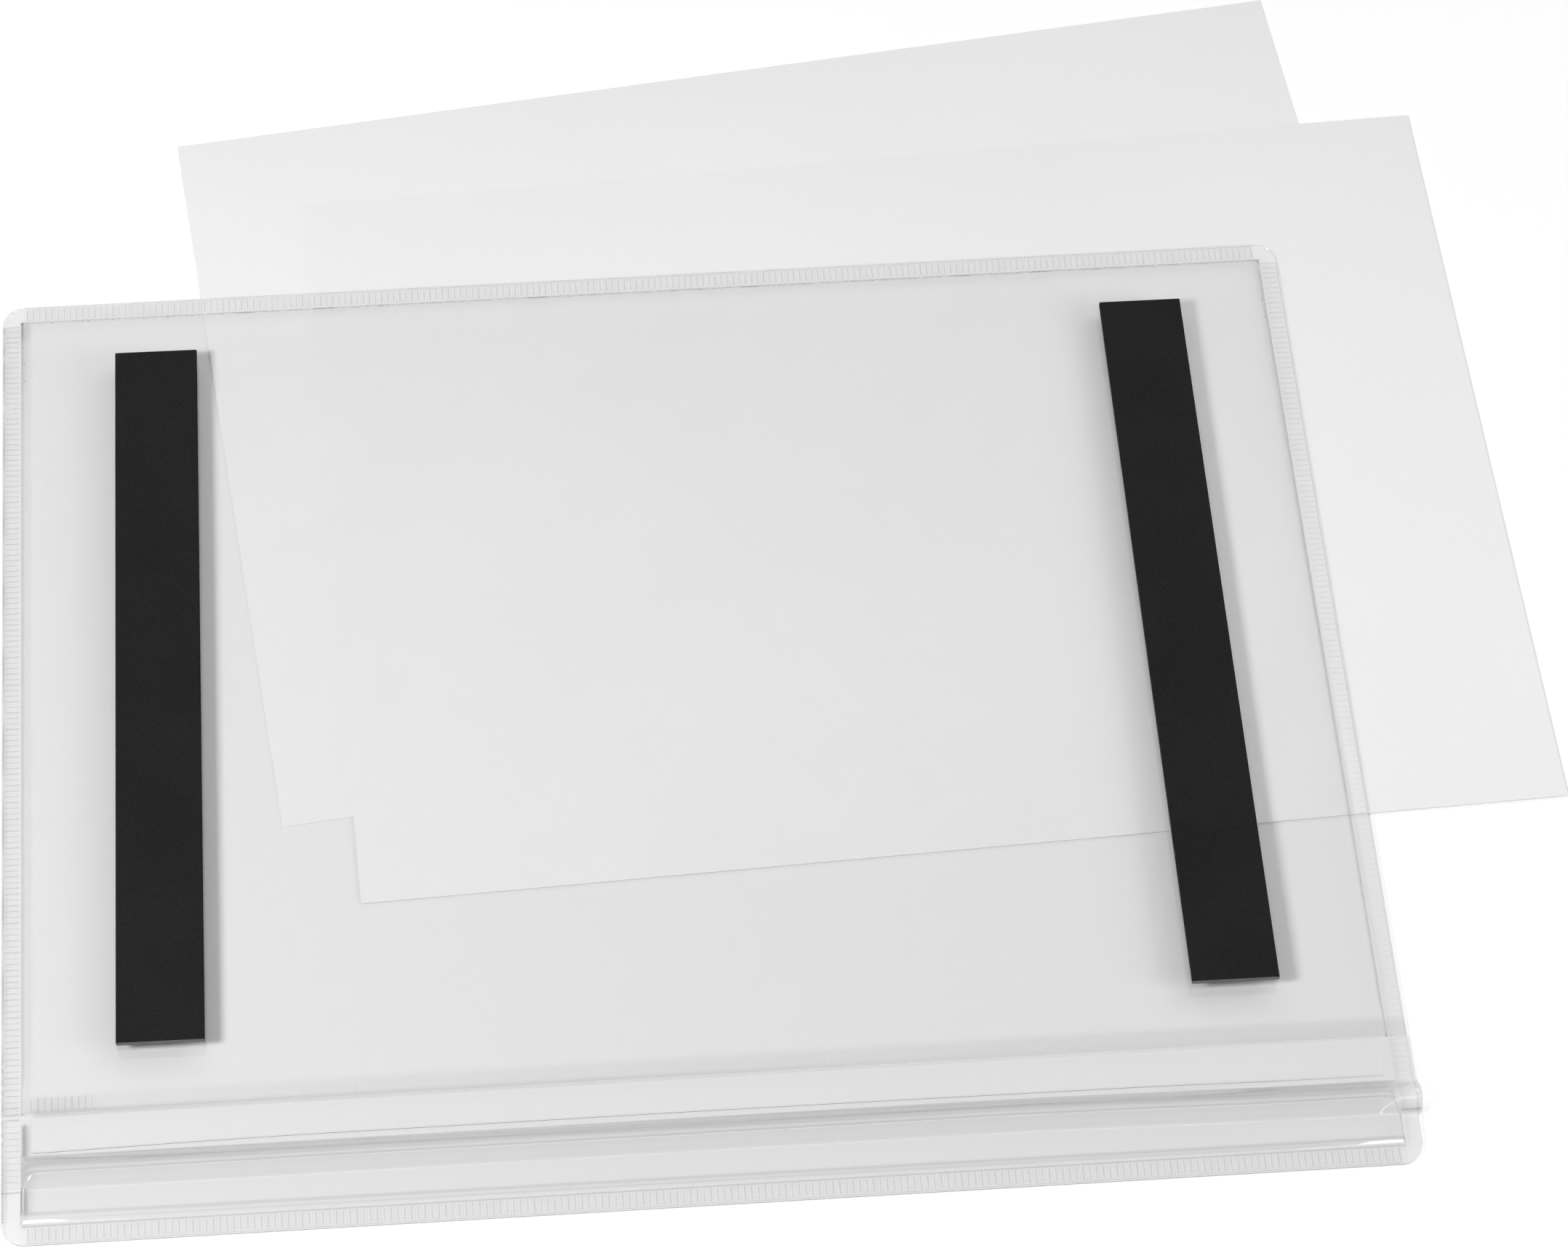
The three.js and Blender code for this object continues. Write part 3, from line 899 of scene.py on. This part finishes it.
    def back_haze_and_shade(self, x: float, y: float) -> float:
        """Returns the back film's haze and painted shade along its welds, walls, hinge band and cut edge."""
        haze_and_shade_marks = self.haze(x, y) + self.bead_foot_painted_shade(x, y)
        haze_and_shade_marks += 0.36 * self.top_row.mark(x, y) + 0.44 * self.left_row.mark(x, y)
        inside = ease((x - (self.right_weld + 1.7 * ease((240 - y) / 200))) / 0.5)
        haze_and_shade_marks += inside * (0.12 + 0.2 * ease((y - 60) / 180)) * self.right_row.mark(x, y)
        from_top, from_left, from_right = self.top_weld - y, x - self.seam, self.right_weld - x
        if from_left > -0.1 and from_right > -0.1:
            dots = 0.65 + 0.35 * self.teeth(self.top_row, x, y, 2)
            haze_and_shade_marks += 0.42 * dots * bump_at(from_top, 0.45 + 0.7 * x / self.width, 0.7)
        if -0.1 < from_top:
            solid = ease((y - (self.top_weld - 7)) / 2)
            dotted = ease((y - self.scallop_start) / self.scallop_run)
            dots = 0.55 + 0.45 * self.teeth(self.left_row, x, y, 2)
            haze_and_shade_marks += (0.04 + 0.6 * solid + 0.3 * (1 - solid) * dotted * dots) * bump_at(from_left, 0.5, 0.65)
            ragged = 0.75 + 0.25 * self.teeth(self.right_row, x, y, 2)
            centre = 1.2 - 1.9 * ease((240 - y) / 200)
            reach = 1.1 + 0.6 * ease((y - 110) / 90)
            haze_and_shade_marks += 0.15 * ragged * bump_at(from_right, centre, reach)
        # Painted shade over the hinge band and along the cut edge below it
        band = 1 - ease((y - self.hinge_top + 0.5) / 2.0)
        haze_and_shade_marks += band * (0.035 + 0.075 * x / self.width)
        edge_line = 0.03 + 0.17 * (1 - ease((x - 60) / 220))
        haze_and_shade_marks += edge_line * (1 - ease((y - self.back_edge) / 0.8)) * (0.8 + 0.2 * math.cos(x / 26))
        haze_and_shade_marks += (0.03 + 0.3 * ease((24 - x) / 6)) * self.hinge_row.mark(x, y)
        return haze_and_shade_marks

    def build_back(self) -> bpy.types.Object:
        """Returns the back film, from its top seam down to its cut edge over the flap."""
        xs = self.filled(self.edge_stations(self.width), 7)
        top = [y for y in self.edge_stations(self.height) if y > self.height / 2]
        hinge_ys = [self.back_edge, self.back_edge + 0.3, self.back_edge + 0.65, self.back_edge + 1.1,
                    self.back_edge + 1.6, self.hinge_top - 0.45, self.hinge_top,
                    *[self.hinge_top + self.hinge_run * i / 9 for i in range(1, 10)]]
        bm = lay_grid(xs, self.filled([*hinge_ys, *top], 7))
        self.round_corners(bm, bottom=False)
        for row in (self.top_row, self.left_row, self.right_row, self.hinge_row):
            row.cut(bm)
        return FilmSheet("clear_back_film", bm, self.back_underside, self.film, self.back_relief,
                         self.back_haze_and_shade).build(self.corner)

    def build_flap(self) -> bpy.types.Object:
        """Returns the rain flap, level at its weld, springing up along its free edge, curled at its ends."""
        left, right = self.flap_inset, self.width - self.flap_inset
        low = self.back_edge - self.flap_drop
        ends = [0.0, 0.4, 0.9, 1.5, 2.3, 3.3, 4.6, 6.5]
        xs = self.filled([*[left + e for e in ends], *[right - e for e in ends]], 6)
        ys = [low + self.flap_drop * i / 16 for i in range(17)] + [low + 0.2, low + 0.4, self.hinge_top]
        bm = lay_grid(xs, self.filled(ys, 2))

        def underside(x: float, y: float) -> float:
            v = clamp((self.back_edge - y) / self.flap_drop)
            spring = swell((x - left) / 75, 2) * (1 - ease((x - 150) / 190))
            curl = ease(1 - (x - left) / self.flap_curl_reach)
            droop = ease((x - 270) / 40)
            bend = self.flap_spring * spring + self.flap_curl * curl - self.flap_droop * droop
            return self.flap_level - self.sag(x) + bend * v * v

        # Painted shade: a band below the back film's cut edge and a line along the flap's free edge
        def haze_and_painted_shade(x: float, y: float) -> float:
            painted_shade_below_cut = 0.26 * (1 - 0.8 * x / self.width) * bump_at(y, self.back_edge - 0.3, 0.9)
            return 0.15 * bump_at(y - low, 0.1, 0.5) + painted_shade_below_cut

        def thinned(x: float, y: float) -> float:
            return -(self.film - 0.03) * ease((y - self.hinge_top + 2.4) / 2.2)

        return FilmSheet("clear_rain_flap", bm, underside, self.film, thinned, haze_and_painted_shade, 0.02).build(self.corner)

    def strip_rise(self, x: float, y: float) -> float:
        """Returns the lift of the strip between its weld and the ridge: a step, then a slope.

        The slope is even and steeper near both ends, where it mirrors the overhead lamp as a short streak.
        """
        d = y - self.seam
        step = self.step_lift * ease(d / self.step_run)
        streak = ease((self.streak_reach - self.from_sides(x)) / self.streak_fade)
        slope_end = self.step_run + self.streak_width
        along = clamp(d - self.step_run, 0, self.streak_width)
        slope = self.streak_slope - self.streak_bend * along
        sloped = slope * along * streak
        rest = self.strip_lift - self.step_lift - slope * along * streak
        run = self.ridge_near - self.seam
        start = self.step_run + (slope_end - self.step_run) * streak
        return step + sloped + rest * ease((d - start) / (run - start))

    def strip_underside(self, x: float, y: float) -> float:
        """Returns the level of the lower strip's underside."""
        lift = 0.0
        if self.from_sides(x) > 0 and y > self.seam:
            rise = self.strip_rise(x, y)
            profile = self.ridge(x, y, rise, self.strip_tuck)
            side = self.ridge_top * swell(self.from_sides(x) / self.ridge_side_run, 3.0)
            lift = soft_min(profile, side, 0.2)
        return self.strip_level + max(0.0, lift, self.seam_lift(x, y))

    def strip_relief(self, x: float, y: float) -> float:
        """Returns the height of the lower strip's ribs and of its lip."""
        rows = (self.bottom_row, self.strip_left_row, self.strip_right_row)
        return sum(row.relief(x, y) for row in rows) + self.lip(x, y)

    def strip_haze_and_shade(self, x: float, y: float) -> float:
        """Returns the lower strip's haze and its painted shade along welds, creases, ridge and ear."""
        haze_and_shade_marks = self.haze(x, y) + 0.38 * self.bottom_row.mark(x, y) + self.bead_foot_painted_shade(x, y)
        haze_and_shade_marks += 0.36 * self.strip_left_row.mark(x, y) + 0.12 * self.strip_right_row.mark(x, y)
        from_left, from_right = x - self.seam, self.right_weld - x
        haze_and_shade_marks += 0.16 * ease((y - self.ridge_near) / 0.5) * bump_at(from_right, -0.7, 1.1)
        if min(from_left, from_right) < 0:
            haze_and_shade_marks += 0.45 * bump_at(y, self.ridge_near + 0.2, 0.3)
            beyond = clamp(x - self.width)
            return haze_and_shade_marks + 0.5 * beyond
        haze_and_shade_marks += 0.17 * bump_at(y, self.seam, 0.3) + 0.02 * ease((self.ridge_near - y) / 2)
        inner = ease(self.from_sides(x) / 30)
        share = x / self.width
        haze_and_shade_marks += 0.2 * inner * bump_at(y, 6.3 - 0.55 * share, 0.35)
        haze_and_shade_marks += (0.2 + 0.05 * share) * bump_at(y, 7.7 - 1.1 * share, 0.7)
        low = ease((y - 7.4) / 1.2) * ease((14.2 - y) / 0.6)
        under_flap = ease((y - 21.6) / 1.5) * ease((31.5 - y) / 1.5)
        haze_and_shade_marks += 0.75 * low * (bump_at(from_left, 0.25, 0.4) + 0.7 * bump_at(from_left, 1.1, 0.4))
        haze_and_shade_marks += 0.7 * under_flap * bump_at(from_left, 0.8, 0.95)
        return haze_and_shade_marks + self.ridge_painted_shade(x, y)

    def ridge_painted_shade(self, x: float, y: float) -> float:
        """Returns the painted shade on the ridge's flanks, with a clear line left along its crest."""
        t = self.ridge_share(x, y)
        far = ease((t - 0.46) / 0.05) * ease((0.98 - t) / 0.04)
        near = bump_at(t, 0.39, 0.06) + 0.5 * ease((t - 0.16) / 0.2) * ease((0.43 - t) / 0.04)
        ends = ease((self.from_sides(x) + 0.5) / 3)
        far *= 0.8 + 0.2 * math.cos(2 * math.pi * (t * 5 + x / 130))
        return ends * 0.25 * (far + 0.8 * near)

    def build_strip(self) -> bpy.types.Object:
        """Returns the lower strip, with the ridge that stands up before the flap."""
        seam = self.seam
        xs = [*self.edge_stations(self.width), self.right_weld - self.ridge_seam_run, self.width - 1]
        low = [y for y in self.edge_stations(self.height) if y < 7]
        ridge_ys = [self.ridge_near + self.ridge_width * i / 40 for i in range(41)]
        ys = [*low, *[seam + 0.35 * i for i in range(4, 25)], *ridge_ys, self.strip_edge]
        bm = lay_grid(self.filled(xs, 6), self.filled(ys, 1.2))
        self.round_corners(bm, top=False)
        for row in (self.bottom_row, self.strip_left_row, self.strip_right_row):
            row.cut(bm)
        self.shift_edge(bm, ear=True)
        return FilmSheet("clear_lower_strip", bm, self.strip_underside, self.film, self.strip_relief,
                         self.strip_haze_and_shade).build(self.corner)

    def dress(self, film: bpy.types.Material, flap: bpy.types.Material) -> None:
        """Builds the four films and gives them their materials.

        Args:
            film: The material of the two large films.
            flap: The material of the flap and the lower strip.
        """
        dress(self.build_front(), film, "pocket_film", "front_film")
        dress(self.build_back(), film, "pocket_film", "back_film")
        dress(self.build_flap(), flap, "flap_film", "rain_flap")
        dress(self.build_strip(), flap, "flap_film", "lower_strip")


@dataclass
class MagnetStrips:
    """The two magnet strips and their tapes, which keep the frame's shapes."""

    magnet: bpy.types.Material
    tape: bpy.types.Material

    def dress(self) -> None:
        """Gives the strips and the tapes their materials."""
        for side in Side:
            self._cover(f"magnet_strip_{side.value}", self.magnet, "magnet")
            self._cover(f"adhesive_tape_{side.value}", self.tape, "tape")

    @staticmethod
    def _cover(node: str, material: bpy.types.Material, slot: str) -> None:
        """Swaps the material of one node."""
        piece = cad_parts[node]
        piece.data.materials.clear()
        piece.data.materials.append(material)
        log.info("%s: %s", node, material.name)


@dataclass
class BlankCards:
    """The two blank A4 cards, shown taken out and lying under the pocket."""

    corner: Vector
    length: float = 297.0
    width: float = 210.0
    thickness: float = 0.23
    edge: float = 0.04

    def build(self, name: str, node: str, place: Vector, turn: float) -> bpy.types.Object:
        """Returns one card, with its cut edges just broken.

        Args:
            name: The piece's name.
            node: The node that it stands for.
            place: Its lower left corner, in millimetres from the pocket's corner.
            turn: Its turn, in degrees.
        """
        bm = lay_grid([0, self.length / 2, self.length], [0, self.width / 2, self.width])
        grown = bmesh.ops.extrude_face_region(bm, geom=list(bm.faces), use_keep_orig=True)
        top = [v for v in grown["geom"] if isinstance(v, bmesh.types.BMVert)]
        bmesh.ops.translate(bm, verts=top, vec=(0, 0, self.thickness))
        rim = [e for e in bm.edges if len(e.link_faces) == 2 and e.calc_face_angle() > math.radians(60)]
        bmesh.ops.bevel(bm, geom=rim, offset=self.edge, offset_type="OFFSET", segments=2, profile=0.5,
                        affect="EDGES", material=-1)
        bmesh.ops.recalc_face_normals(bm, faces=bm.faces)
        level = Vector((0, 0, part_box(node)[0].z))
        spot = Matrix.Translation(self.corner + level) @ Matrix.Scale(MM, 4)
        bmesh.ops.transform(bm, verts=bm.verts,
                            matrix=spot @ Matrix.Translation(place) @ Matrix.Rotation(math.radians(turn), 4, "Z"))
        return finished(name, bm, 30)

    def dress(self, card: bpy.types.Material) -> None:
        """Builds both cards and gives them their material."""
        lower = self.build("card_lower", "insert_sheet_lower", Vector((68.5, 107.2, 0)), 6.06)
        upper = self.build("card_upper", "insert_sheet_upper", Vector((86.8, 84.8, 0)), 2.15)
        dress(lower, card, "paper", "insert_sheet_lower")
        dress(upper, card, "paper", "insert_sheet_upper")


@dataclass(frozen=True)
class Softbox:
    """A soft lamp aimed at the pocket.

    Attributes:
        name: The lamp's name.
        place: Where it hangs, in millimetres from the pocket's corner.
        width: Its width, in metres.
        depth: Its depth, in metres.
        power: Its power, in watts.
        mirrored: Whether it shows in the gloss of the film.
    """

    name: str
    place: tuple[float, float, float]
    width: float
    depth: float
    power: float
    mirrored: bool

    def build(self, corner: Vector, target: Vector) -> None:
        """Hangs the lamp and aims it."""
        data = bpy.data.lights.new(self.name, "AREA")
        data.shape = "RECTANGLE"
        data.size = self.width
        data.size_y = self.depth
        data.energy = self.power
        lamp = bpy.data.objects.new(self.name, data)
        lamp.location = corner + Vector(self.place) * MM
        lamp.rotation_euler = (target - lamp.location).to_track_quat("-Z", "Y").to_euler()
        lamp.visible_glossy = lamp.visible_transmission = self.mirrored
        bpy.context.scene.collection.objects.link(lamp)


@dataclass
class Studio:
    """The table, the soft light and the camera of the photograph's view."""

    corner: Vector
    middle: Vector

    floor_size: float = 6.0
    floor_level: float = -0.05
    horizon: float = 0.072
    zenith: float = 0.11
    mirrored_horizon: float = 0.45
    lens: float = 108.7989
    sensor: float = 36.0
    shift_x: float = 0.09321
    camera_place: tuple[float, float, float] = (111.116, -454.309, 1016.348)
    tilt: float = 31.219
    heading: float = -4.452
    roll: float = 0.697

    lamps = (
        Softbox("key_from_left", (-650, -225, 870), 0.3, 0.3, 11.8, True),
        Softbox("fill_from_right", (1285, -250, 500), 0.5, 0.5, 5.6, False),
        Softbox("back_from_right", (1150, 800, 900), 0.8, 0.8, 4.9, False),
        Softbox("back_high", (50, 1450, 900), 1.2, 0.6, 4.4, False),
        Softbox("strip_overhead", (167, -120, 1500), 1.1, 0.1, 2.0, True),
    )

    def build_floor(self, table: bpy.types.Material) -> None:
        """Lays the table just under the cards."""
        bm = bmesh.new()
        bmesh.ops.create_grid(bm, x_segments=8, y_segments=8, size=self.floor_size / 2)
        bmesh.ops.translate(bm, verts=bm.verts, vec=(0, 0, self.floor_level * MM))
        floor = finished("table_top", bm)
        floor.data.materials.append(table)

    def build_world(self) -> None:
        """Makes the room: white where it is seen directly, a soft grey dome where it lights and mirrors."""
        world = bpy.data.worlds.new("soft_room")
        world.use_nodes = True
        bpy.context.scene.world = world
        tree = Tree(world.node_tree)
        direction = tree.add("ShaderNodeTexCoord").outputs["Generated"]
        height = tree.add("ShaderNodeSeparateXYZ", {0: direction}).outputs["Z"]
        dome = tree.ramp(height, 0.0, 0.9, (self.horizon, self.zenith))
        path = tree.add("ShaderNodeLightPath")
        mirrored = tree.ramp(height, 0.0, 0.6, (self.mirrored_horizon, 1.0))
        mirrored = tree.maths("MULTIPLY", mirrored, path.outputs["Is Glossy Ray"])
        seen = tree.maths("MAXIMUM", path.outputs["Is Camera Ray"], path.outputs["Is Transmission Ray"])
        strength = tree.maths("MAXIMUM", dome, tree.maths("MAXIMUM", mirrored, seen))
        room = tree.add("ShaderNodeBackground", {"Color": colour4((1, 1, 1)), "Strength": strength})
        tree.add("ShaderNodeOutputWorld", {"Surface": room.outputs[0]})

    def build_camera(self) -> None:
        """Sets up the camera of the photograph's view."""
        data = bpy.data.cameras.new("photo_view")
        data.sensor_width = self.sensor
        data.lens = self.lens
        data.shift_x = self.shift_x
        data.clip_start = 0.01
        data.clip_end = 20
        camera = bpy.data.objects.new("photo_view", data)
        turn = (Matrix.Rotation(math.radians(self.heading), 4, "Z")
                @ Matrix.Rotation(math.radians(self.tilt), 4, "X")
                @ Matrix.Rotation(math.radians(self.roll), 4, "Z"))
        camera.matrix_world = Matrix.Translation(self.corner + Vector(self.camera_place) * MM) @ turn
        bpy.context.scene.collection.objects.link(camera)
        bpy.context.scene.camera = camera

    def build(self, table: bpy.types.Material) -> None:
        """Builds the table, the room, the lamps and the camera."""
        self.build_floor(table)
        self.build_world()
        for lamp in self.lamps:
            lamp.build(self.corner, self.middle)
        self.build_camera()
        bpy.context.scene.view_settings.view_transform = "Standard"


def main() -> None:
    """Builds every piece in order, then the studio."""
    logging.basicConfig(level=logging.INFO, format="%(name)s: %(message)s")
    effects = Effects()
    low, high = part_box("front_film")
    corner = Vector((low.x, low.y, 0))
    width, height = (high.x - low.x) / MM, (high.y - low.y) / MM
    film = ClearFilmFinish("pocket_film_clear").material(effects)
    flap = ClearFilmFinish("flap_film_clear", roughness=0.035).material(effects)
    card = SheetFinish("card_white", (0.877, 0.877, 0.874), (0.857, 0.857, 0.855), 0.85, 1400.0, 0.00002)
    tape = SheetFinish("tape_white", (0.8, 0.8, 0.77), (0.74, 0.74, 0.71), 0.6, 600.0, 0.00003)

    BlankCards(corner).dress(card.material(effects))
    ClearPocket(corner, width, height).dress(film, flap)
    MagnetStrips(MagnetFinish().material(effects), tape.material(effects)).dress()
    Studio(corner, corner + Vector((width, height, 0)) * (MM / 2)).build(TableFinish().material())


if __name__ == "__main__":
    main()
